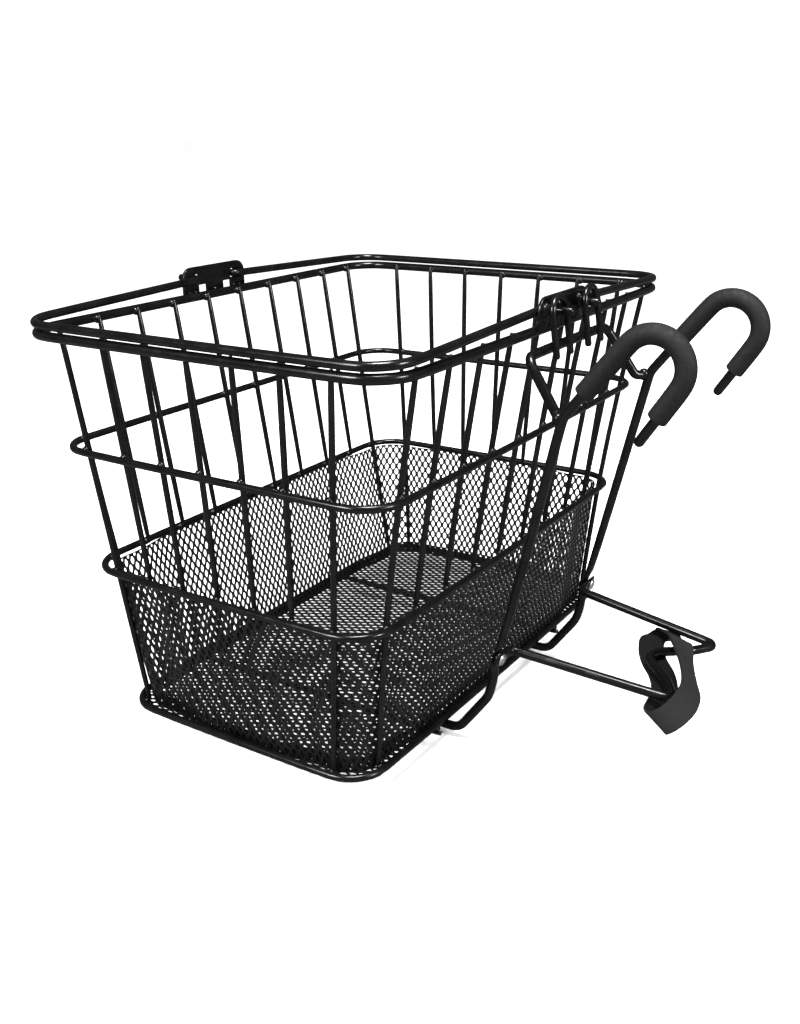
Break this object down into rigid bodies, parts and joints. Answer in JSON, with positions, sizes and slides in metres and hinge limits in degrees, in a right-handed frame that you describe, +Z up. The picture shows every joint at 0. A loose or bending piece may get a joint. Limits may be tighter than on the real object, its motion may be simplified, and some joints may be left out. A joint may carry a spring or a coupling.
{
  "type": "handlebar basket",
  "caption": "Lift-off wire handlebar basket with an expanded-mesh lower tub, folding bail handles and a hook-on bracket with a head-tube rest and strap.",
  "frame": {"origin": "centre of the handlebar seat, midway between the two hooks", "axes": "+X across the bicycle to the rider's left, +Y back to the rider, +Z up"},
  "size_m": [0.38, 0.4246, 0.2914],
  "materials": {
    "black_coat": "gloss black powder coat over steel wire",
    "coated_mesh": "gloss black coated expanded steel mesh",
    "foam_sleeve": "matt dark grey foam",
    "rivet_metal": "bright domed rivet head",
    "strap_webbing": "hook-and-loop webbing, woven outside, fuzzy inside"
  },
  "bodies": {
    "bracket": {"cross_bar": "black_coat", "head_tube_rest": "black_coat", "hook_sleeve_left": "foam_sleeve", "hook_sleeve_right": "foam_sleeve", "hook_wire_left": "black_coat", "hook_wire_right": "black_coat", "rivet_left": "rivet_metal", "rivet_right": "rivet_metal", "strap": "strap_webbing"},
    "basket": {"base_ring": "black_coat", "floor_rail_left": "black_coat", "floor_rail_right": "black_coat", "handle_plate_front": "black_coat", "handle_plate_rear": "black_coat", "lower_ring": "black_coat", "mesh_tub": "coated_mesh", "middle_ring": "black_coat", "prong_left": "black_coat", "prong_right": "black_coat", "rim_ring": "black_coat", "stave_front_01": "black_coat", "stave_front_02": "black_coat", "stave_front_03": "black_coat", "stave_front_04": "black_coat", "stave_front_05": "black_coat", "stave_front_06": "black_coat", "stave_front_07": "black_coat", "stave_front_08": "black_coat", "stave_front_09": "black_coat", "stave_front_10": "black_coat", "stave_left_01": "black_coat", "stave_left_02": "black_coat", "stave_left_03": "black_coat", "stave_left_04": "black_coat", "stave_left_05": "black_coat", "stave_left_06": "black_coat", "stave_left_07": "black_coat", "stave_rear_01": "black_coat", "stave_rear_02": "black_coat", "stave_rear_03": "black_coat", "stave_rear_04": "black_coat", "stave_rear_05": "black_coat", "stave_rear_06": "black_coat", "stave_rear_07": "black_coat", "stave_rear_08": "black_coat", "stave_rear_09": "black_coat", "stave_rear_10": "black_coat", "stave_right_01": "black_coat", "stave_right_02": "black_coat", "stave_right_03": "black_coat", "stave_right_04": "black_coat", "stave_right_05": "black_coat", "stave_right_06": "black_coat", "stave_right_07": "black_coat"},
    "bail_left": {"bail_left": "black_coat"},
    "bail_right": {"bail_right": "black_coat"}
  },
  "joints": [
    {"name": "basket_lift", "type": "slide", "parent": "bracket", "child": "basket", "axis": [0, 0, 1], "range_m": [0, 0.05]},
    {"name": "bail_left_hinge", "type": "hinge", "parent": "basket", "child": "bail_left", "pos_m": [0.0195, -0.2303, 0.0174], "axis": [0, -1, 0], "range_deg": [0, 94]},
    {"name": "bail_right_hinge", "type": "hinge", "parent": "basket", "child": "bail_right", "pos_m": [-0.0195, -0.2303, 0.0174], "axis": [0, 1, 0], "range_deg": [0, 94]}
  ]
}
